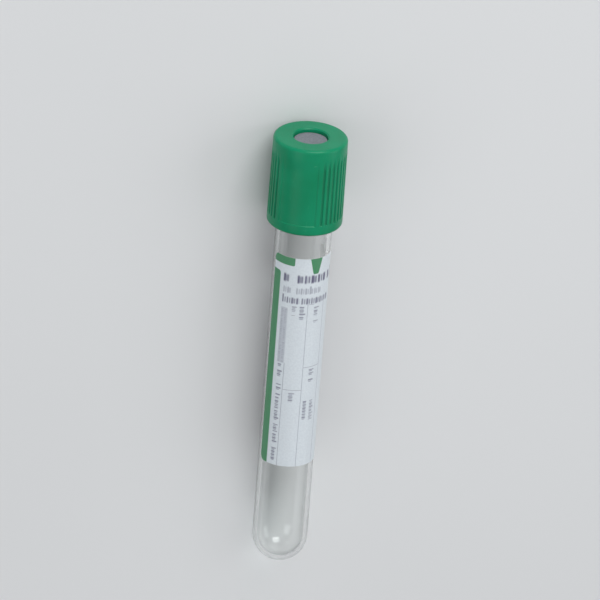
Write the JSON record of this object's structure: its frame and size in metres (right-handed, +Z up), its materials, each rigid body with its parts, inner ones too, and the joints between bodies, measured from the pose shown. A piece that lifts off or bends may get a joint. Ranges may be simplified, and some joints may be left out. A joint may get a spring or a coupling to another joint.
{
  "type": "blood collection tube",
  "caption": "Round-bottomed clear tube with a wrap-round label, closed by a rubber stopper held in a ribbed plastic safety shield that pulls off along the tube.",
  "frame": {"origin": "middle of the bounding box's underside, on the surface that the tube lies on", "axes": "+X along the tube's length towards the closure, which is raised by under two degrees, +Z up, with the label's printed side up"},
  "size_m": [0.1066, 0.0172, 0.0176],
  "materials": {
    "clear_plastic": "clear polished moulding",
    "label_paper": "coated label stock, printed",
    "stopper_rubber": "matt moulded rubber",
    "shield_plastic": "satin moulded plastic"
  },
  "bodies": {
    "tube": {"tube": "clear_plastic", "label": "label_paper"},
    "closure": {"shield": "shield_plastic", "stopper": "stopper_rubber"}
  },
  "joints": [
    {"name": "closure_pull", "type": "slide", "parent": "tube", "child": "closure", "axis": [0.9996, 0, 0.0288], "range_m": [0, 0.025]}
  ]
}
